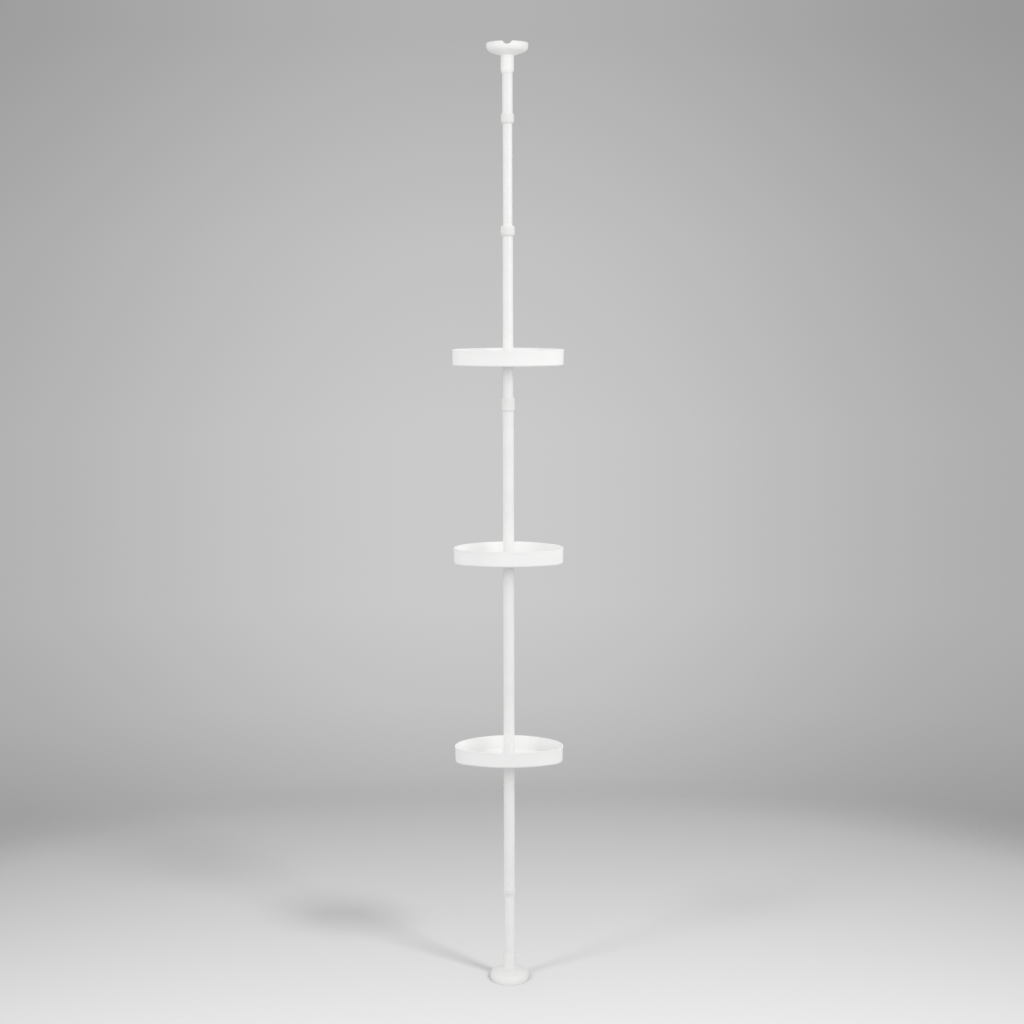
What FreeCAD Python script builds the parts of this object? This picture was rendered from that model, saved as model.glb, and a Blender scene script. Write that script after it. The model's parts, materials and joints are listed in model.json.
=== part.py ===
import FreeCAD, Part
import math
import os

# Tension pole shelf unit: a telescopic pole wedged between floor and ceiling, with three oval trays.
# Millimetres, +Z up, front towards -Y. The origin is on the pole's axis, on the floor.

# Tubes. Each inner tube is one wall and one telescope room smaller than the tube round it.
# The plunger tube goes over the top tube, and the leg tube is the same stock.
main_tube_radius = 14.3
tube_wall = 0.6
telescope_room = 0.6      # radial room for a bush between two tubes
plunger_room = 0.5        # the same, between the top tube and the plunger tube
leg_tube_length = 330.0
main_tube_length = 1279.0
extension_tube_length = 780.0
top_tube_length = 579.0
plunger_tube_length = 167.0
leg_insertion = 107.0
extension_insertion = 350.0
top_insertion = 290.0

# Clearances
press_gap = 0.05          # pieces pushed together
running_gap = 0.10        # nuts, bushes and hubs that turn or slide
stop_gap = 0.2            # between the spring stop and the bush it comes up against

# Feet: an upright rim, a rounded shoulder and a shallow round crown with a tube socket
foot_radius = 51.5
foot_wall = 2.6
foot_lip = 6.5            # height of the upright rim above the floor
shoulder_radius = 15.0
crown_radius = 95.0
rim_band = 12.5           # width of the solid rim
rim_band_height = 7.8
foot_rib_count = 8
foot_rib_thickness = 2.0
boss_clear = 5.0          # from the floor to the underside of the ribs and the screw boss
socket_wall = 3.25
socket_mouth_wall = 0.9
socket_floor = 17.0       # where the tube's end stands, above the floor
socket_depth = 46.0       # straight part of the socket above its floor
socket_taper = 7.0
socket_web = 4.0
vent_radius = 12.0
vent_height = 8.0

# Rubber pads
pad_thickness = 1.2
pad_inset = 1.0
pad_tongue_width = 4.8
pad_tongue_height = 3.9

# Plugs and screws
plug_length = 30.0
plug_barb_depth = 0.7
plug_barb_count = 3
plug_nose_radius = 6.8
plug_nose_length = 8.0
screw_radius = 2.1
screw_length = 24.0
screw_head_radius = 4.6
screw_head_height = 3.0
screw_head_chamfer = 1.2

# Ring and sleeve between leg tube and main tube
ring_wall = 1.05
ring_height = 12.0
ring_seat = 6.0           # how far the ring reaches up round the main tube
ring_skirt_height = 7.0
ring_skirt_wall = 0.4
ring_chamfer = 0.8
reducer_sleeve_length = 60.0

# Twist locks: the lower nut is straight, the upper one barrel shaped
lower_nut_wall = 1.55
lower_nut_below = 15.5
lower_nut_above = 17.0
lower_nut_chamfer = 1.2
lower_collet_wall = 0.7
lower_finger_length = 13.0
upper_nut_wall = 2.9
upper_nut_swell = 1.6     # how much the barrel's middle stands out from its ends
upper_nut_below = 11.5
upper_nut_above = 12.5
upper_collet_wall = 1.4
upper_finger_length = 9.0
skirt_shortfall = 2.0     # the collet's skirt ends this far inside the nut
finger_count = 6
finger_slot = 1.5
finger_taper = 0.8
flute_count = 16
flute_radius = 1.6
flute_depth = 0.35

# Guide bushes at the inner tubes' lower ends
bush_length = 40.0
bush_flange = 2.0
bush_lip = 1.4

# Spring plunger
plunger_bush_length = 21.8
plunger_collar_wall = 3.0
plunger_collar_swell = 1.3
plunger_collar_below = 6.0
plunger_collar_above = 17.0
spring_stop_flange = 3.0
spring_stop_spigot = 18.0
spring_radius = 8.6       # to the middle of the wire
spring_wire = 1.8
spring_turns = 9

# Trays: a deep half oval at the back, a flatter one in front, each of three arcs
tray_width = 280.0
tray_back_depth = 100.0   # from the widest line to the back
tray_front_depth = 66.0   # from the widest line to the front
tray_back_side_radius = 75.0
tray_front_side_radius = 42.0
tray_widest_y = -10.0     # the widest line lies a little in front of the pole
tray_height = 40.5
tray_wall = 2.2
tray_floor = 2.2
tray_draft = 0.8          # how much further in the wall stands at the bottom
tray_corner = 5.0
rim_bead = 0.5
rim_bead_height = 3.5
moat_width = 12.0
platform_rise = 4.0
platform_slope = 2.0
tray_rib_count = 8
tray_rib_thickness = 2.0
hub_wall = 2.6
hub_draft = 0.8
hub_height = 17.0
drain_slot_length = 16.0
drain_slot_width = 3.0
drain_slots_per_half = 5
lower_tray_height = 354.5   # bottom of the tray above the main tube's lower end
middle_tray_drop = 404.5    # bottom of the tray below the main tube's upper end
upper_tray_height = 97.5    # bottom of the tray above the main tube's upper end

# Split taper sleeves inside the hubs
sleeve_wall = 2.45        # at the top, on the main tube
sleeve_taper = 1.0
sleeve_above = 2.5
sleeve_below = 2.5
sleeve_lip = 1.0
sleeve_split = 1.2

# Worked out from the sizes above
main_bore = main_tube_radius - tube_wall
extension_tube_radius = main_bore - telescope_room
extension_bore = extension_tube_radius - tube_wall
top_tube_radius = extension_bore - telescope_room
top_bore = top_tube_radius - tube_wall
plunger_bore = top_tube_radius + plunger_room
plunger_tube_radius = plunger_bore + tube_wall
leg_tube_radius = plunger_tube_radius
leg_tube_bottom = socket_floor
leg_tube_top = leg_tube_bottom + leg_tube_length
main_tube_bottom = leg_tube_top - leg_insertion
main_tube_top = main_tube_bottom + main_tube_length
extension_tube_bottom = main_tube_top - extension_insertion
extension_tube_top = extension_tube_bottom + extension_tube_length
top_tube_bottom = extension_tube_top - top_insertion
top_tube_top = top_tube_bottom + top_tube_length
plunger_tube_bottom = top_tube_top - stop_gap - plunger_bush_length
plunger_tube_top = plunger_tube_bottom + plunger_tube_length
ceiling = plunger_tube_top + socket_floor
sleeve_top_radius = main_tube_radius + press_gap + sleeve_wall
sleeve_bottom_radius = sleeve_top_radius + sleeve_taper


def cylinder(radius, bottom, top):
    return Part.makeCylinder(radius, top - bottom, FreeCAD.Vector(0, 0, bottom))


def ring(outer, inner, bottom, top):
    return cylinder(outer, bottom, top).cut(cylinder(inner, bottom, top))


def tube(radius, bottom, top):
    return ring(radius, radius - tube_wall, bottom, top)


def revolve(points):
    """Turn a closed outline of (radius, height) points about the pole's axis."""
    corners = [FreeCAD.Vector(radius, 0, height) for radius, height in points]
    return turn(Part.makePolygon(corners + corners[:1]))


def turn(outline):
    """Turn a closed outline in the XZ plane about the pole's axis."""
    return Part.Face(outline).revolve(FreeCAD.Vector(0, 0, 0), FreeCAD.Vector(0, 0, 1), 360)


def arc(centre, radius, first, last):
    """An arc in the XZ plane, from one angle above the horizontal to another."""
    points = []
    for angle in (first, (first + last) / 2, last):
        points.append(FreeCAD.Vector(
            centre[0] + radius * math.cos(angle), 0, centre[1] + radius * math.sin(angle)))
    return Part.Arc(*points).toShape()


def spoke(inner, outer, thickness, bottom, top):
    """A radial bar along +X."""
    corner = FreeCAD.Vector(inner, -thickness / 2, bottom)
    return Part.makeBox(outer - inner, thickness, top - bottom, corner)


def around(shape, count, first=0.0):
    """Copies of a shape, evenly spaced about the pole's axis."""
    copies = []
    for index in range(count):
        copy = shape.copy()
        copy.rotate(FreeCAD.Vector(0, 0, 0), FreeCAD.Vector(0, 0, 1), first + index * 360 / count)
        copies.append(copy)
    return copies


def raised(shape, height):
    copy = shape.copy()
    copy.translate(FreeCAD.Vector(0, 0, height))
    return copy


def upside_down(shape):
    """Turn a piece of the floor end over, to its place at the ceiling. Back becomes front."""
    copy = shape.copy()
    copy.rotate(FreeCAD.Vector(0, 0, 0), FreeCAD.Vector(1, 0, 0), 180)
    return raised(copy, ceiling)


def barrel(middle_radius, swell, bottom, top):
    """A solid barrel: a straight band with a rounded shoulder above and below."""
    shoulder = (top - bottom) / 3
    bend = (swell ** 2 + shoulder ** 2) / (2 * swell)
    lean = math.asin(shoulder / bend)
    low = arc((middle_radius - bend, bottom + shoulder), bend, -lean, 0)
    high = arc((middle_radius - bend, top - shoulder), bend, 0, lean)
    band = Part.makePolygon([low.Vertexes[-1].Point, high.Vertexes[0].Point])
    rest = Part.makePolygon([
        high.Vertexes[-1].Point, FreeCAD.Vector(0, 0, top), FreeCAD.Vector(0, 0, bottom),
        low.Vertexes[0].Point])
    return turn(Part.Wire([low] + band.Edges + [high] + rest.Edges))


# Feet

def dome(inset, bottom):
    """A solid dome, moved in by inset: upright rim, shoulder arc and a crown centred on the axis."""
    rim_radius = foot_radius - inset
    shoulder = (foot_radius - shoulder_radius, foot_lip)
    depth = math.sqrt((crown_radius - shoulder_radius) ** 2 - shoulder[0] ** 2)
    tangent = math.atan2(depth, shoulder[0])
    rounding = arc(shoulder, shoulder_radius - inset, 0, tangent)
    crown = arc((0, foot_lip - depth), crown_radius - inset, tangent, math.pi / 2)
    rest = Part.makePolygon([
        crown.Vertexes[-1].Point, FreeCAD.Vector(0, 0, bottom), FreeCAD.Vector(rim_radius, 0, bottom),
        FreeCAD.Vector(rim_radius, 0, foot_lip)])
    return turn(Part.Wire([rounding, crown] + rest.Edges))


def vent():
    """The arched notch through the back of a foot's rim."""
    start = FreeCAD.Vector(0, foot_radius - rim_band - foot_wall, vent_height - vent_radius)
    return Part.makeCylinder(vent_radius, rim_band + 2 * foot_wall, start, FreeCAD.Vector(0, 1, 0))


def tongue(extra):
    """The ring that keys a pad into its foot, made larger all round by extra."""
    middle = foot_radius - rim_band / 2
    half = pad_tongue_width / 2 + extra
    return ring(middle + half, middle - half, pad_thickness, pad_thickness + pad_tongue_height + extra)


def foot():
    socket_outside = leg_tube_radius + press_gap + socket_wall
    mouth = leg_tube_radius + press_gap + socket_mouth_wall
    straight = socket_floor + socket_depth
    hollow = dome(foot_wall, 0)
    shell = dome(0, pad_thickness).cut(hollow)
    band = ring(foot_radius, foot_radius - rim_band, pad_thickness, pad_thickness + rim_band_height)
    rib = spoke(0, foot_radius, foot_rib_thickness, boss_clear, straight)
    web = [piece.common(hollow) for piece in around(rib, foot_rib_count, 180 / foot_rib_count)]
    socket = revolve([
        (0, boss_clear), (socket_outside, boss_clear), (socket_outside, straight),
        (mouth, straight + socket_taper), (0, straight + socket_taper)])
    body = shell.fuse([band.common(hollow), socket] + web)
    tube_bore = cylinder(leg_tube_radius + press_gap, socket_floor, straight + socket_taper)
    head_pocket = cylinder(2 * screw_head_radius, 0, socket_floor - socket_web)
    screw_hole = cylinder(screw_radius + running_gap, 0, socket_floor)
    return body.cut([tongue(press_gap), tube_bore, head_pocket, screw_hole, vent()]).removeSplitter()


def pad():
    flat = ring(foot_radius - pad_inset, foot_radius - rim_band, 0, pad_thickness)
    return flat.fuse(tongue(0)).cut(vent()).removeSplitter()


def foot_plug():
    """A plug with saw-tooth barbs, and a nose that centres the spring at the ceiling end."""
    radius = leg_tube_radius - tube_wall - press_gap
    pitch = plug_length / plug_barb_count
    end = socket_floor + plug_length
    points = [(0, socket_floor)]
    for index in range(plug_barb_count):
        points.append((radius, socket_floor + index * pitch))
        points.append((radius - plug_barb_depth, socket_floor + (index + 1) * pitch))
    points += [(plug_nose_radius, end), (plug_nose_radius, end + plug_nose_length)]
    points.append((0, end + plug_nose_length))
    return revolve(points).cut(cylinder(screw_radius + press_gap, 0, end))


def foot_screw():
    seat = socket_floor - socket_web
    top = seat + screw_length
    low = seat - screw_head_height
    return revolve([
        (0, low), (screw_head_radius - screw_head_chamfer, low),
        (screw_head_radius, low + screw_head_chamfer), (screw_head_radius, seat),
        (screw_radius, seat), (screw_radius, top - screw_radius), (0, top)])


# Leg and main tube

def leg_reducer():
    """Ring under the main tube, with a thin sleeve up inside it."""
    seat = main_tube_bottom
    inner = leg_tube_radius + press_gap
    outer = main_tube_radius + press_gap + ring_wall
    top = seat + ring_seat
    low = top - ring_height
    sleeve_top = seat + reducer_sleeve_length
    return revolve([
        (inner, low - ring_skirt_height), (inner + ring_skirt_wall, low - ring_skirt_height),
        (outer - 2 * ring_chamfer, low), (outer - ring_chamfer, low), (outer, low + ring_chamfer),
        (outer, top - ring_chamfer), (outer - ring_chamfer, top), (main_tube_radius + press_gap, top),
        (main_tube_radius + press_gap, seat), (main_bore - press_gap, seat),
        (main_bore - press_gap, sleeve_top), (inner, sleeve_top)])


# Twist locks

def collet(outer_tube, inner_tube, wall, tube_end, skirt, finger_length):
    """Skirt pushed over the outer tube's mouth, with split tapered fingers round the inner tube."""
    inside_skirt = outer_tube + press_gap
    outside = inside_skirt + wall
    inside = inner_tube + running_gap
    finger_top = tube_end + finger_length
    body = revolve([
        (inside_skirt, tube_end - skirt), (outside, tube_end - skirt), (outside, tube_end),
        (outside - finger_taper, finger_top), (inside, finger_top), (inside, tube_end),
        (inside_skirt, tube_end)])
    slot = spoke(0, outside + wall, finger_slot, tube_end + wall, finger_top)
    return body.cut(around(slot, finger_count))


def nut_hollow(outer_tube, inner_tube, wall, tube_end, finger_length, bottom, top):
    """The space inside a lock nut: bore over the collet, cone over its fingers, mouth round the tube."""
    bore = outer_tube + press_gap + wall + running_gap
    cone_top = tube_end + finger_length + running_gap
    mouth = inner_tube + 2 * running_gap
    return revolve([
        (0, bottom), (bore, bottom), (bore, tube_end + running_gap), (bore - finger_taper, cone_top),
        (mouth, cone_top), (mouth, top), (0, top)])


def flutes(radius, bottom, top):
    """Shallow grip grooves round a nut."""
    cutter = cylinder(flute_radius, bottom, top)
    cutter.translate(FreeCAD.Vector(radius + flute_radius - flute_depth, 0, 0))
    return around(cutter, flute_count)


def lower_lock_nut():
    bottom = main_tube_top - lower_nut_below
    top = main_tube_top + lower_nut_above
    radius = main_tube_radius + press_gap + lower_collet_wall + running_gap + lower_nut_wall
    edge = radius - lower_nut_chamfer
    blank = revolve([
        (0, bottom), (edge, bottom), (radius, bottom + lower_nut_chamfer),
        (radius, top - 2 * lower_nut_chamfer), (edge, top), (0, top)])
    grip = flutes(radius, bottom + 3 * lower_nut_chamfer, top - 4 * lower_nut_chamfer)
    hollow = nut_hollow(main_tube_radius, extension_tube_radius, lower_collet_wall, main_tube_top,
                        lower_finger_length, bottom, top)
    return blank.cut(grip + [hollow])


def upper_lock_nut():
    bottom = extension_tube_top - upper_nut_below
    top = extension_tube_top + upper_nut_above
    radius = extension_tube_radius + press_gap + upper_collet_wall + running_gap + upper_nut_wall
    band = (top - bottom) / 3
    blank = barrel(radius, upper_nut_swell, bottom, top)
    grip = flutes(radius, bottom + band, top - band)
    hollow = nut_hollow(extension_tube_radius, top_tube_radius, upper_collet_wall, extension_tube_top,
                        upper_finger_length, bottom, top)
    return blank.cut(grip + [hollow])


def guide_bush(tube_radius, bore, tube_end):
    """Sleeve on an inner tube's lower end, with a flange under the end."""
    outside = bore - running_gap
    inside = tube_radius - tube_wall - bush_lip
    return revolve([
        (inside, tube_end - bush_flange), (outside, tube_end - bush_flange),
        (outside, tube_end + bush_length), (tube_radius + press_gap, tube_end + bush_length),
        (tube_radius + press_gap, tube_end), (inside, tube_end)])


# Spring plunger

def spring_stop():
    flange = plunger_bore - running_gap
    spigot = top_bore - press_gap
    low = top_tube_top - spring_stop_spigot
    flange_top = top_tube_top + spring_stop_flange
    nose_top = flange_top + plug_nose_length
    return revolve([
        (0, low), (spigot, low), (spigot, top_tube_top), (flange, top_tube_top), (flange, flange_top),
        (plug_nose_radius, flange_top), (plug_nose_radius, nose_top), (0, nose_top)])


def plunger_bush():
    top = plunger_tube_bottom + plunger_bush_length
    return ring(plunger_bore - press_gap, top_tube_radius + running_gap, plunger_tube_bottom, top)


def plunger_collar():
    bottom = plunger_tube_bottom - plunger_collar_below
    top = plunger_tube_bottom + plunger_collar_above
    seat = plunger_tube_radius + press_gap
    body = barrel(seat + plunger_collar_wall, plunger_collar_swell, bottom, top)
    mouth = cylinder(top_tube_radius + 2 * running_gap, bottom, plunger_tube_bottom)
    return body.cut([cylinder(seat, plunger_tube_bottom, top), mouth])


def tension_spring():
    low = top_tube_top + spring_stop_flange + spring_wire / 2
    high = plunger_tube_top - plug_length - spring_wire / 2
    path = raised(Part.makeHelix((high - low) / spring_turns, high - low, spring_radius), low)
    half = spring_wire / 2
    corners = []
    for across, up in ((half, 0), (0, half), (-half, 0), (0, -half)):
        corners.append(FreeCAD.Vector(spring_radius + across, 0, low + up))
    section = Part.makePolygon(corners + corners[:1])
    return Part.Wire(path).makePipeShell([section], True, True)


# Trays

def half_oval(side, depth, side_radius, inset, height):
    """Side arc, long arc and side arc, from one end of the widest line to the other."""
    half_width = tray_width / 2
    reach = half_width ** 2 + depth ** 2 - 2 * half_width * side_radius
    long_radius = reach / (2 * (depth - side_radius))
    tangent = math.atan2(long_radius - depth, half_width - side_radius)
    radius = side_radius - inset
    points = []
    for angle in (0, tangent / 2, tangent):
        points.append((half_width - side_radius + radius * math.cos(angle), radius * math.sin(angle)))
    points.append((0, depth - inset))
    points += [(-x, y) for x, y in reversed(points[:3])]
    places = [FreeCAD.Vector(side * x, tray_widest_y + side * y, height) for x, y in points]
    return [Part.Arc(*places[index:index + 3]).toShape() for index in (0, 2, 4)]


def back_half(inset, height):
    return half_oval(1, tray_back_depth, tray_back_side_radius, inset, height)


def front_half(inset, height):
    return half_oval(-1, tray_front_depth, tray_front_side_radius, inset, height)


def oval_block(low_inset, high_inset, bottom, top):
    """The tray's outline, moved in by an inset at the bottom and another at the top, as a solid."""
    low = Part.Wire(back_half(low_inset, bottom) + front_half(low_inset, bottom))
    high = Part.Wire(back_half(high_inset, top) + front_half(high_inset, top))
    return Part.makeLoft([low, high], True, True)


def rounded_below(block, radius):
    bottom = block.BoundBox.ZMin
    middle = block.BoundBox.Center.z
    edges = [edge for edge in block.Edges if edge.BoundBox.ZMax < middle and edge.BoundBox.ZMin < bottom + radius]
    return block.makeFillet(radius, edges)


def drain_slot():
    """A round-ended slot along Y."""
    half = (drain_slot_length - drain_slot_width) / 2
    radius = drain_slot_width / 2
    bar = Part.makeBox(2 * radius, 2 * half, tray_height, FreeCAD.Vector(-radius, -half, -tray_floor))
    ends = []
    for end in (-half, half):
        ends.append(Part.makeCylinder(radius, tray_height, FreeCAD.Vector(0, end, -tray_floor)))
    return bar.fuse(ends)


def drain_slots():
    """Slots that follow the moat round the tray."""
    inset = rim_bead + tray_draft + tray_wall + moat_width / 2
    slots = []
    for half in (back_half(inset, 0), front_half(inset, 0)):
        places = Part.Wire(half).discretize(4 * drain_slots_per_half + 1)
        for index in range(2, len(places), 4):
            heading = places[index + 1] - places[index - 1]
            slot = drain_slot()
            slot.rotate(FreeCAD.Vector(0, 0, 0), FreeCAD.Vector(0, 0, 1),
                        math.degrees(math.atan2(heading.y, heading.x)) - 90)
            slot.translate(places[index])
            slots.append(slot)
    return slots


def sleeve_slope(height):
    """Outer radius of the taper sleeve at a height above the tray's bottom."""
    share = (height + sleeve_below) / (hub_height + sleeve_below + sleeve_above)
    return sleeve_bottom_radius - sleeve_taper * share


def tray():
    """One tray with its bottom at height 0."""
    wall_foot = rim_bead + tray_draft
    outer = rounded_below(oval_block(wall_foot, rim_bead, 0, tray_height), tray_corner)
    bead = oval_block(0, 0, tray_height - rim_bead_height, tray_height)
    cavity = oval_block(wall_foot + tray_wall, rim_bead + tray_wall, tray_floor, tray_height)
    cavity = rounded_below(cavity, tray_corner - tray_floor)
    edge = wall_foot + tray_wall + moat_width
    under = edge + tray_wall
    platform = oval_block(edge, edge + platform_slope, tray_floor, tray_floor + platform_rise)
    recess = oval_block(under, under + platform_slope, 0, platform_rise)
    rib = spoke(0, tray_width, tray_rib_thickness, 0, platform_rise)
    ribs = [piece.common(recess) for piece in around(rib, tray_rib_count, 180 / tray_rib_count)]
    hub_foot = sleeve_bottom_radius + running_gap + hub_wall
    hub = Part.makeCone(hub_foot, hub_foot - hub_draft, hub_height)
    bore = Part.makeCone(sleeve_slope(0) + running_gap, sleeve_slope(hub_height) + running_gap, hub_height)
    body = outer.fuse(bead).cut([cavity.cut(platform), recess])
    return body.fuse(ribs + [hub]).cut([bore] + drain_slots()).removeSplitter()


def sleeve_half(pole_radius):
    """The +X half of a taper sleeve, with a lip under the hub. The tray's bottom is at height 0."""
    top = hub_height + sleeve_above
    inner = pole_radius + press_gap
    lip_radius = sleeve_bottom_radius + sleeve_lip
    whole = revolve([
        (inner, -sleeve_below), (lip_radius, -sleeve_below), (lip_radius, -running_gap),
        (sleeve_slope(-running_gap), -running_gap), (sleeve_top_radius, top), (inner, top)])
    reach = 2 * lip_radius
    corner = FreeCAD.Vector(sleeve_split / 2, -reach, -2 * sleeve_below)
    return whole.common(Part.makeBox(reach, 2 * reach, top + 4 * sleeve_below, corner))


def end_pieces():
    """The four pieces at the floor, and the same four turned over at the ceiling."""
    pieces = {}
    for name, shape in (("pad", pad()), ("foot", foot()), ("plug", foot_plug()), ("screw", foot_screw())):
        pieces["floor_" + name] = shape
        pieces["ceiling_" + name] = upside_down(shape)
    return pieces


def pole_pieces():
    return {
        "leg_tube": tube(leg_tube_radius, leg_tube_bottom, leg_tube_top),
        "leg_reducer": leg_reducer(),
        "main_tube": tube(main_tube_radius, main_tube_bottom, main_tube_top),
        "lower_lock_collet": collet(
            main_tube_radius, extension_tube_radius, lower_collet_wall, main_tube_top,
            lower_nut_below - skirt_shortfall, lower_finger_length),
        "lower_lock_nut": lower_lock_nut(),
        "extension_tube": tube(extension_tube_radius, extension_tube_bottom, extension_tube_top),
        "extension_bush": guide_bush(extension_tube_radius, main_bore, extension_tube_bottom),
        "upper_lock_collet": collet(
            extension_tube_radius, top_tube_radius, upper_collet_wall, extension_tube_top,
            upper_nut_below - skirt_shortfall, upper_finger_length),
        "upper_lock_nut": upper_lock_nut(),
        "top_tube": tube(top_tube_radius, top_tube_bottom, top_tube_top),
        "top_bush": guide_bush(top_tube_radius, extension_bore, top_tube_bottom),
        "spring_stop": spring_stop(),
        "tension_spring": tension_spring(),
        "plunger_tube": tube(plunger_tube_radius, plunger_tube_bottom, plunger_tube_top),
        "plunger_bush": plunger_bush(),
        "plunger_collar": plunger_collar(),
    }


def tray_pieces():
    places = (
        ("lower", main_tube_bottom + lower_tray_height, main_tube_radius),
        ("middle", main_tube_top - middle_tray_drop, main_tube_radius),
        ("upper", main_tube_top + upper_tray_height, extension_tube_radius))
    one_tray = tray()
    pieces = {}
    for name, bottom, pole_radius in places:
        right = sleeve_half(pole_radius)
        left = around(right, 2)[1]
        pieces[name + "_tray"] = raised(one_tray, bottom)
        pieces[name + "_sleeve_right"] = raised(right, bottom)
        pieces[name + "_sleeve_left"] = raised(left, bottom)
    return pieces


def main():
    os.makedirs("parts", exist_ok=True)
    pieces = end_pieces()
    pieces.update(pole_pieces())
    pieces.update(tray_pieces())
    for name, shape in pieces.items():
        shape.exportStep("parts/" + name + ".step")
        print(name, len(shape.Solids), shape.isValid(), round(shape.Volume / 1000, 2), "cm3")
    print("ceiling at", ceiling)


main()
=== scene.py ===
import json
import math

import bpy
from mathutils import Euler, Matrix, Vector

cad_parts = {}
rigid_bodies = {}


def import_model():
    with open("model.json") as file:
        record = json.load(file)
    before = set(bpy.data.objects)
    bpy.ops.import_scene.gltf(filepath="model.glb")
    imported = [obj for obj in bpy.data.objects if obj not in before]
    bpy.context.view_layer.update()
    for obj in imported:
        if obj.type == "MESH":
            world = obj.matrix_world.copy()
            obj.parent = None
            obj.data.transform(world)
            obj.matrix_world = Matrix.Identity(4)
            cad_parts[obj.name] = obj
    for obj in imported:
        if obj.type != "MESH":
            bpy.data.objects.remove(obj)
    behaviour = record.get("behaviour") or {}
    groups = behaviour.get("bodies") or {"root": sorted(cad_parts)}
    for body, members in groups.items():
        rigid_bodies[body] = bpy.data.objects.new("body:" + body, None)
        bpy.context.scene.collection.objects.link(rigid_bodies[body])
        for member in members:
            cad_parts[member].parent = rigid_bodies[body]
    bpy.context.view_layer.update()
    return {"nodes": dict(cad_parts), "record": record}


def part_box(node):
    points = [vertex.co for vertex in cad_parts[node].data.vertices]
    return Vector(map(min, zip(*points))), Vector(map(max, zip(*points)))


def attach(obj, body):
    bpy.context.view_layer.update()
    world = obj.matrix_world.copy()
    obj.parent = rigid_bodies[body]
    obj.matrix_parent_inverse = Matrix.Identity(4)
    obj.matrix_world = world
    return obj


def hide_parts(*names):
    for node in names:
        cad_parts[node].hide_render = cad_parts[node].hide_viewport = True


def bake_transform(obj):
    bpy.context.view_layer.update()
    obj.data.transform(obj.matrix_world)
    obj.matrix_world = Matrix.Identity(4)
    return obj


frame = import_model()
nodes = frame["nodes"]


# Shader building blocks

def remap(tree, value, source, target=(0.0, 1.0), interpolation="LINEAR"):
    """Map a value from one range to another and hold it at the ends."""
    reach = tree.nodes.new("ShaderNodeMapRange")
    reach.interpolation_type = interpolation
    reach.inputs["From Min"].default_value, reach.inputs["From Max"].default_value = source
    reach.inputs["To Min"].default_value, reach.inputs["To Max"].default_value = target
    tree.links.new(value, reach.inputs["Value"])
    return reach.outputs["Result"]


def shade(tree, value, stops):
    """Colours along a value from 0 to 1, from (position, colour) stops in rising order."""
    ramp = tree.nodes.new("ShaderNodeValToRGB")
    for index, (position, colour) in enumerate(stops):
        if index < 2:
            stop = ramp.color_ramp.elements[index]
            stop.position = position
        else:
            stop = ramp.color_ramp.elements.new(position)
        stop.color = (*colour, 1)
    tree.links.new(value, ramp.inputs["Fac"])
    return ramp.outputs["Color"]


def arithmetic(tree, operation, *values):
    """One step of arithmetic on sockets and plain numbers."""
    step = tree.nodes.new("ShaderNodeMath")
    step.operation = operation
    for socket, value in zip(step.inputs, values):
        if isinstance(value, float):
            socket.default_value = value
        else:
            tree.links.new(value, socket)
    return step.outputs["Value"]


# Finishes

noise_range = (0.3, 0.7)   # where most of a noise's values lie


def new_material(name):
    material = bpy.data.materials.new(name)
    material.use_nodes = True
    tree = material.node_tree
    return material, tree, tree.nodes["Principled BSDF"]


def object_noise(tree, scale, detail=3.0, roughness=0.5, stretch=(1, 1, 1)):
    """Noise on the piece's own coordinates, in features per metre."""
    place = tree.nodes.new("ShaderNodeTexCoord")
    mapping = tree.nodes.new("ShaderNodeMapping")
    mapping.inputs["Scale"].default_value = stretch
    noise = tree.nodes.new("ShaderNodeTexNoise")
    noise.inputs["Scale"].default_value = scale
    noise.inputs["Detail"].default_value = detail
    noise.inputs["Roughness"].default_value = roughness
    tree.links.new(place.outputs["Object"], mapping.inputs["Vector"])
    tree.links.new(mapping.outputs["Vector"], noise.inputs["Vector"])
    return noise.outputs["Fac"]


def mottle(tree, shader, noise, dark, light):
    """Colour that wanders between two close tones."""
    low, high = noise_range
    tree.links.new(shade(tree, noise, ((low, dark), (high, light))), shader.inputs["Base Color"])


def sheen(tree, shader, noise, smooth, rough):
    """Gloss that wanders between two roughnesses."""
    tree.links.new(remap(tree, noise, noise_range, (smooth, rough)), shader.inputs["Roughness"])


def relief(tree, shader, height, depth, strength):
    bump = tree.nodes.new("ShaderNodeBump")
    bump.inputs["Distance"].default_value = depth
    bump.inputs["Strength"].default_value = strength
    tree.links.new(height, bump.inputs["Height"])
    tree.links.new(bump.outputs["Normal"], shader.inputs["Normal"])


def powder_coat():
    """White powder coat on steel tube: satin, with a faint orange peel."""
    material, tree, shader = new_material("white_powder_coat")
    clouds = object_noise(tree, scale=22.0, detail=4.0)
    mottle(tree, shader, clouds, dark=(0.845, 0.845, 0.838), light=(0.885, 0.885, 0.878))
    sheen(tree, shader, object_noise(tree, scale=60.0), smooth=0.30, rough=0.40)
    orange_peel = object_noise(tree, scale=420.0, detail=2.0)
    relief(tree, shader, orange_peel, depth=0.00012, strength=0.35)
    shader.inputs["Coat Weight"].default_value = 0.25
    shader.inputs["Coat Roughness"].default_value = 0.18
    return material


def moulded_plastic(name, dark, light, smooth, rough):
    """Injection moulded plastic: fine spark-eroded grain and a slightly uneven sheen."""
    material, tree, shader = new_material(name)
    mottle(tree, shader, object_noise(tree, scale=16.0), dark, light)
    sheen(tree, shader, object_noise(tree, scale=45.0), smooth, rough)
    grain = object_noise(tree, scale=1500.0, detail=2.0, roughness=0.6)
    relief(tree, shader, grain, depth=0.00006, strength=0.45)
    shader.inputs["IOR"].default_value = 1.49
    return material


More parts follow.
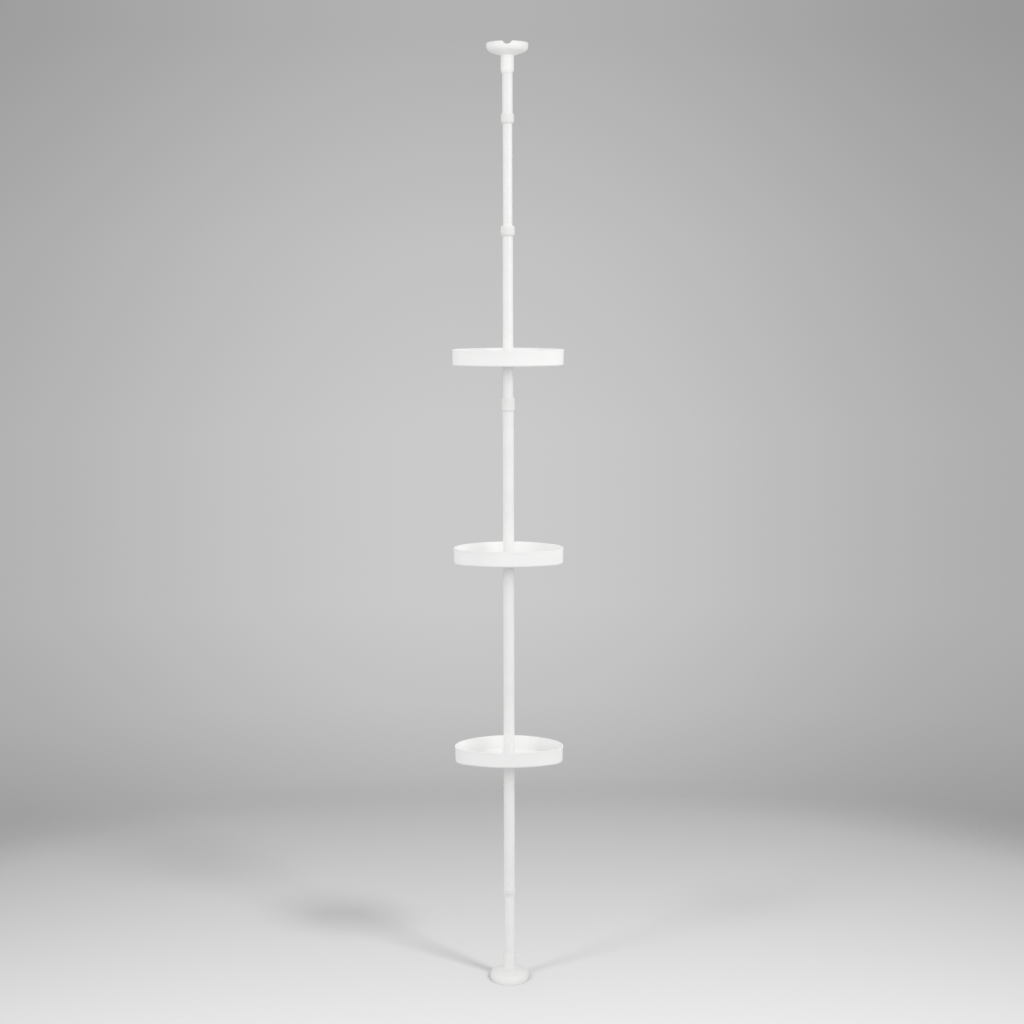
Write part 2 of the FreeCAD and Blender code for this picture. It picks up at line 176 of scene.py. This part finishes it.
def pad_rubber():
    """Pale rubber: matt, with a fine uneven skin."""
    material, tree, shader = new_material("pale_rubber")
    clouds = object_noise(tree, scale=70.0, detail=5.0)
    mottle(tree, shader, clouds, dark=(0.72, 0.72, 0.71), light=(0.78, 0.78, 0.77))
    sheen(tree, shader, object_noise(tree, scale=200.0), smooth=0.72, rough=0.88)
    skin = object_noise(tree, scale=1800.0, detail=3.0, roughness=0.7)
    relief(tree, shader, skin, depth=0.0001, strength=0.6)
    return material


def plain_steel(name, dark, light, smooth, rough, stretch):
    """Bare or plated steel with drawing marks along one direction."""
    material, tree, shader = new_material(name)
    mottle(tree, shader, object_noise(tree, scale=90.0, detail=5.0), dark, light)
    marks = object_noise(tree, scale=900.0, detail=3.0, roughness=0.6, stretch=stretch)
    sheen(tree, shader, marks, smooth, rough)
    relief(tree, shader, marks, depth=0.00005, strength=0.3)
    shader.inputs["Metallic"].default_value = 1.0
    return material


zinc_screws = plain_steel("zinc_screws", dark=(0.55, 0.55, 0.56), light=(0.68, 0.68, 0.69),
                          smooth=0.28, rough=0.45, stretch=(1, 1, 0.2))
oiled_spring = plain_steel("oiled_spring", dark=(0.26, 0.26, 0.27), light=(0.36, 0.36, 0.37),
                           smooth=0.25, rough=0.42, stretch=(0.3, 0.3, 1))
finishes = {
    "tube_paint": powder_coat(),
    "fitting_plastic": moulded_plastic("white_fittings", dark=(0.80, 0.80, 0.792), light=(0.84, 0.84, 0.832),
                                       smooth=0.40, rough=0.52),
    "tray_plastic": moulded_plastic("white_trays", dark=(0.89, 0.89, 0.885), light=(0.92, 0.92, 0.915),
                                    smooth=0.36, rough=0.48),
    "bush_plastic": moulded_plastic("natural_bushes", dark=(0.66, 0.64, 0.57), light=(0.73, 0.71, 0.63),
                                    smooth=0.35, rough=0.5),
    "pad_rubber": pad_rubber(),
    "screw_steel": zinc_screws,
    "spring_steel": oiled_spring,
}
for part in frame["record"]["subparts"]:
    mesh = nodes[part["node"]].data
    mesh.materials.clear()
    mesh.materials.append(finishes[part["material_slot"]])


# Screws with a driver's cross, in the feet

screw_sides = 48
screw_head_radius = 0.0046
screw_head_height = 0.0030
screw_head_rounding = 0.0012
screw_shank_radius = 0.0021
screw_smooth_angle = math.radians(35)
cross_depth = 0.0018
cross_reach = 0.0052
cross_blade = 0.0010
cross_taper = 0.5
cross_overrun = 0.0004     # how far a blade stands out of the head's face


def pick_faces(piece, wanted):
    """Go to edit mode with only the faces selected whose middle is wanted."""
    bpy.ops.object.mode_set(mode="EDIT")
    bpy.ops.mesh.select_mode(type="FACE")
    bpy.ops.mesh.select_all(action="DESELECT")
    bpy.ops.object.mode_set(mode="OBJECT")
    for face in piece.data.polygons:
        face.select = wanted(face.center)
    bpy.ops.object.mode_set(mode="EDIT")


def cross_cutter(name, across, along, face, inward):
    """One blade of the cross, tapering into the head from a little outside it."""
    height = cross_depth + cross_overrun
    middle = face + inward * (height / 2 - cross_overrun)
    bpy.ops.object.select_all(action="DESELECT")
    bpy.ops.mesh.primitive_cube_add(size=1, location=(0, 0, middle))
    blade = bpy.context.object
    blade.name = name
    bpy.ops.object.mode_set(mode="EDIT")
    bpy.ops.mesh.select_all(action="SELECT")
    bpy.ops.transform.resize(value=(across, along, height))
    bpy.ops.object.mode_set(mode="OBJECT")
    pick_faces(blade, lambda centre: centre.z * inward > height / 4)
    bpy.ops.transform.resize(value=(cross_taper, cross_taper, 1))
    bpy.ops.object.mode_set(mode="OBJECT")
    return blade


def crosshead_screw(node, body, inward):
    """Pan head screw: head outwards, shank going inward, with a cross for the driver."""
    low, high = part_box(node)
    face, tip = (low[2], high[2]) if inward > 0 else (high[2], low[2])
    seat = face + inward * screw_head_height
    bpy.ops.object.select_all(action="DESELECT")
    bpy.ops.mesh.primitive_cylinder_add(vertices=screw_sides, radius=screw_head_radius,
                                        depth=screw_head_height, location=(0, 0, (face + seat) / 2))
    screw = bpy.context.object
    screw.name = "crosshead_" + node
    bpy.ops.object.transform_apply(location=True, rotation=True, scale=True)
    near = screw_head_height / 10
    pick_faces(screw, lambda centre: abs(centre.z - face) < near)
    bpy.ops.mesh.bevel(offset=screw_head_rounding, segments=4, affect="EDGES")
    bpy.ops.object.mode_set(mode="OBJECT")
    pick_faces(screw, lambda centre: abs(centre.z - seat) < near)
    bpy.ops.mesh.inset(thickness=screw_head_radius - screw_shank_radius)
    shank = abs(tip - seat) - screw_shank_radius
    for rise in (shank, screw_shank_radius):   # the shank, and then its point
        bpy.ops.mesh.extrude_region_move(TRANSFORM_OT_translate={"value": (0, 0, inward * rise)})
    bpy.ops.mesh.merge(type="CENTER")
    bpy.ops.mesh.select_all(action="SELECT")
    bpy.ops.mesh.normals_make_consistent(inside=False)
    bpy.ops.object.mode_set(mode="OBJECT")
    for across, along in ((cross_reach, cross_blade), (cross_blade, cross_reach)):
        blade = cross_cutter("driver_blade", across, along, face, inward)
        cut = screw.modifiers.new("cross", "BOOLEAN")
        cut.operation = "DIFFERENCE"
        cut.object = blade
        bpy.ops.object.select_all(action="DESELECT")
        screw.select_set(True)
        bpy.context.view_layer.objects.active = screw
        bpy.ops.object.modifier_apply(modifier="cross")
        bpy.ops.object.select_all(action="DESELECT")
        blade.select_set(True)
        bpy.ops.object.delete()
    bpy.ops.object.select_all(action="DESELECT")
    screw.select_set(True)
    bpy.context.view_layer.objects.active = screw
    bpy.ops.object.shade_smooth_by_angle(angle=screw_smooth_angle)
    screw.data.materials.append(zinc_screws)
    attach(screw, body)
    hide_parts(node)
    return screw


screws = [crosshead_screw("floor_screw", "base", 1), crosshead_screw("ceiling_screw", "plunger", -1)]


# Spring of round wire, wound at one fixed length; the real one shortens as the ceiling foot is pressed down

spring_wire_radius = 0.0009
spring_wire_sides = 10
spring_steps = 24          # in each turn
spring_closed_turns = 1    # at each end
spring_open_turns = 6      # between the two turns that open out from the closed ones
spring_closed_gap = 0.0001
spring_smooth_angle = math.radians(50)


def wound_spring():
    """Wire wound up from the stop: a closed turn, one that opens out, open turns, and the same back."""
    low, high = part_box("tension_spring")
    coil_radius = high[0] - spring_wire_radius
    closed_rise = 2 * spring_wire_radius + spring_closed_gap
    height = high[2] - low[2] - 2 * spring_wire_radius
    open_rise = (height - closed_rise * (2 * spring_closed_turns + 1)) / (spring_open_turns + 1)
    turns = 2 * spring_closed_turns + 2 + spring_open_turns
    bpy.ops.object.select_all(action="DESELECT")
    bpy.ops.mesh.primitive_circle_add(vertices=spring_wire_sides, radius=spring_wire_radius, fill_type="NGON",
                                      location=(coil_radius, 0, low[2] + spring_wire_radius),
                                      rotation=(math.pi / 2, 0, 0))
    spring = bpy.context.object
    spring.name = "wound_spring"
    bpy.ops.object.transform_apply(location=True, rotation=True, scale=True)
    bpy.ops.object.mode_set(mode="EDIT")
    bpy.ops.mesh.select_all(action="SELECT")
    for step in range(turns * spring_steps):
        turn = (step + 0.5) / spring_steps
        opened = min(max(min(turn, turns - turn) - spring_closed_turns, 0), 1)
        rise = closed_rise + (open_rise - closed_rise) * opened
        bpy.ops.mesh.extrude_region_move(TRANSFORM_OT_translate={"value": (0, 0, rise / spring_steps)})
        bpy.ops.transform.rotate(value=-math.tau / spring_steps, orient_axis="Z", center_override=(0, 0, 0))
    bpy.ops.mesh.select_all(action="SELECT")
    bpy.ops.mesh.normals_make_consistent(inside=False)
    bpy.ops.object.mode_set(mode="OBJECT")
    bpy.ops.object.shade_smooth_by_angle(angle=spring_smooth_angle)
    spring.data.materials.append(oiled_spring)
    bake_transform(spring)
    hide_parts("tension_spring")
    return spring


spring = wound_spring()


# Room: an oval patch of floor that fades into the backdrop, and the backdrop as the world

floor_sides = 128
floor_reach = 1.85
floor_stretch = 1.45       # how much wider than deep the patch is
floor_fade = (0.55, 0.05)  # where the fade starts and ends, in from the edge
floor_depth = (-0.3, 1.7)  # from where to where the painted shade darkens it towards the back
floor_curve = 0.22         # how the painted shade curls forward at the sides
# painted shade: the floor's grey at the front and at the back, standing in for the lamps' light falling off
floor_lit_front = 0.558
floor_shaded_back = 0.323

backdrop_slopes = (-0.34, 0.16)   # height of the line of sight, from floor to above the object
# painted light and shade: the backdrop's grey at each height of the line of sight
backdrop_levels = ((-0.310, 181), (-0.259, 195), (-0.199, 202), (-0.096, 202), (0.018, 194), (0.139, 178))
backdrop_waves = 8.0       # painted bright bands in a full turn, each with a painted dark one beside it
backdrop_turn = 0.21       # radians, shifts them round
# how far the painted bands darken and brighten the backdrop
backdrop_side_light = (0.70, 1.0)
ambient_levels = ((-1.0, 0.59), (-0.3, 0.46), (0.0, 1.00), (0.3, 0.93), (0.6, 0.91))


def floor_finish():
    """Matt pale floor with painted shade, darker towards the back where the lamps' light falls off, fading
    out at its edge.
    """
    material, tree, shader = new_material("studio_floor")
    link = tree.links.new
    place = tree.nodes.new("ShaderNodeTexCoord")
    split = tree.nodes.new("ShaderNodeSeparateXYZ")
    link(place.outputs["Object"], split.inputs["Vector"])
    across = arithmetic(tree, "MULTIPLY", split.outputs["X"], split.outputs["X"])
    away = arithmetic(tree, "MULTIPLY_ADD", across, floor_curve, split.outputs["Y"])
    # painted shade: the base colour darkens towards the back in place of the lamps' falloff
    painted_falloff_greys = ((0.0, [floor_lit_front] * 3), (1.0, [floor_shaded_back] * 3))
    link(shade(tree, remap(tree, away, floor_depth), painted_falloff_greys), shader.inputs["Base Color"])
    shader.inputs["Roughness"].default_value = 0.9
    shader.inputs["Specular IOR Level"].default_value = 0.1
    oval = tree.nodes.new("ShaderNodeMapping")
    oval.inputs["Scale"].default_value = (1 / floor_stretch, 1, 1)
    link(place.outputs["Object"], oval.inputs["Vector"])
    reach = tree.nodes.new("ShaderNodeVectorMath")
    reach.operation = "LENGTH"
    link(oval.outputs["Vector"], reach.inputs[0])
    edge = [floor_reach - inset for inset in floor_fade]
    link(remap(tree, reach.outputs["Value"], edge, (1.0, 0.0), "SMOOTHSTEP"), shader.inputs["Alpha"])
    return material


def studio_floor():
    bpy.ops.object.select_all(action="DESELECT")
    bpy.ops.mesh.primitive_circle_add(vertices=floor_sides, radius=floor_reach, fill_type="NGON",
                                      location=(0, 0, 0))
    floor = bpy.context.object
    bpy.ops.object.mode_set(mode="EDIT")
    bpy.ops.mesh.select_all(action="SELECT")
    bpy.ops.transform.resize(value=(floor_stretch, 1, 1))
    bpy.ops.object.mode_set(mode="OBJECT")
    floor.name = "studio_floor"
    floor.data.materials.append(floor_finish())
    # The light from below comes from the world, so that it is the same at every pose.
    floor.visible_diffuse = False
    floor.visible_shadow = False
    return floor


def grey(level):
    """Linear colour of a grey as it shows on screen, from 0 to 255."""
    share = level / 255
    light = ((share + 0.055) / 1.055) ** 2.4 if share > 0.04045 else share / 12.92
    return [light] * 3


def background(tree, colour):
    """Background shader and its strength socket."""
    glow = tree.nodes.new("ShaderNodeBackground")
    tree.links.new(colour, glow.inputs["Color"])
    return glow.outputs["Background"], glow.inputs["Strength"]


def backdrop():
    """What lies behind the floor, with painted light and shade: a painted pool of light a little below eye
    level, darker up, down and to the sides.
    """
    world = bpy.data.worlds.new("backdrop")
    bpy.context.scene.world = world
    world.use_nodes = True
    tree = world.node_tree
    tree.nodes.clear()
    link = tree.links.new
    place = tree.nodes.new("ShaderNodeTexCoord")
    split = tree.nodes.new("ShaderNodeSeparateXYZ")
    link(place.outputs["Generated"], split.inputs["Vector"])
    slope = split.outputs["Z"]

    lowest, highest = backdrop_slopes
    stops = [((at - lowest) / (highest - lowest), grey(level)) for at, level in backdrop_levels]
    seen, strength = background(tree, shade(tree, remap(tree, slope, backdrop_slopes), stops))
    # painted bright and dark bands round the backdrop
    turn = arithmetic(tree, "ARCTAN2", split.outputs["X"], split.outputs["Y"])
    waves = arithmetic(tree, "MULTIPLY_ADD", turn, backdrop_waves, backdrop_turn)
    link(remap(tree, arithmetic(tree, "COSINE", waves), (-1.0, 1.0), backdrop_side_light), strength)

    stops = [((at + 1) / 2, [light] * 3) for at, light in ambient_levels]
    ambient, _ = background(tree, shade(tree, remap(tree, slope, (-1.0, 1.0)), stops))

    path = tree.nodes.new("ShaderNodeLightPath")
    mirrored = arithmetic(tree, "MAXIMUM", path.outputs["Is Glossy Ray"], path.outputs["Is Transmission Ray"])
    mix = tree.nodes.new("ShaderNodeMixShader")
    link(arithmetic(tree, "MAXIMUM", path.outputs["Is Camera Ray"], mirrored), mix.inputs["Fac"])
    link(ambient, mix.inputs[1])
    link(seen, mix.inputs[2])
    output = tree.nodes.new("ShaderNodeOutputWorld")
    link(mix.outputs["Shader"], output.inputs["Surface"])


# Lamps and camera

lamps_aim = Vector((0, 0, 1.1))

camera_place = (0.009, -4.0815, 1.8438)
camera_lens = 57.105       # millimetres, on the sensor below
camera_sensor = 36.0
camera_looks_down = 8.34   # degrees
camera_roll = -0.13        # degrees


def gathered(name, members):
    group = bpy.data.collections.new(name)
    for member in members:
        group.objects.link(member)
    return group


def softbox(name, place, size, watts, lights_up, mirrored=True):
    """A round soft lamp aimed at the pole's middle, for the objects of one collection."""
    data = bpy.data.lights.new(name, "AREA")
    data.shape = "DISK"
    data.size = size
    data.energy = watts
    lamp = bpy.data.objects.new(name, data)
    lamp.location = place
    lamp.rotation_euler = (lamps_aim - Vector(place)).to_track_quat("-Z", "Y").to_euler()
    bpy.context.collection.objects.link(lamp)
    lamp.visible_camera = False
    lamp.visible_glossy = mirrored
    lamp.light_linking.receiver_collection = lights_up


def camera():
    data = bpy.data.cameras.new("camera")
    data.lens = camera_lens
    data.sensor_width = camera_sensor
    view = bpy.data.objects.new("camera", data)
    view.location = camera_place
    tilt = Euler((math.radians(90 - camera_looks_down), 0, 0)).to_matrix()
    view.rotation_euler = (tilt @ Matrix.Rotation(math.radians(camera_roll), 3, "Z")).to_euler()
    bpy.context.collection.objects.link(view)
    bpy.context.scene.camera = view


the_floor = gathered("the_floor", [studio_floor()])
shelf_unit = gathered("shelf_unit", [*nodes.values(), *screws, spring])
standing_foot = gathered("standing_foot", [nodes["floor_pad"], nodes["floor_foot"]])
hanging_foot = gathered("hanging_foot", [nodes["ceiling_pad"], nodes["ceiling_foot"]])
above_foot = gathered("above_foot", [piece for piece in shelf_unit.objects
                                     if piece.name not in standing_foot.objects])
backdrop()
softbox("right_floor_lamp", (3.00, -2.64, 4.45), size=1.15, watts=185, lights_up=the_floor)
softbox("left_floor_lamp", (-2.84, -2.07, 3.07), size=0.95, watts=56, lights_up=the_floor)
softbox("right_softbox", (1.72, -1.45, 2.10), size=1.4, watts=14, lights_up=above_foot)
softbox("left_softbox", (-1.90, -1.25, 2.05), size=1.4, watts=7.5, lights_up=above_foot)
softbox("front_softbox", (0.0, -3.9, 3.00), size=1.2, watts=5.5, lights_up=above_foot)
softbox("back_softbox", (0.0, 3.4, 1.30), size=2.0, watts=14, lights_up=shelf_unit, mirrored=False)
softbox("low_softbox", (0.0, -2.4, 0.32), size=0.5, watts=12, lights_up=standing_foot, mirrored=False)
softbox("high_softbox", (-0.2, -1.9, 0.70), size=0.5, watts=15, lights_up=hanging_foot, mirrored=False)
camera()
bpy.context.scene.view_settings.view_transform = "Standard"
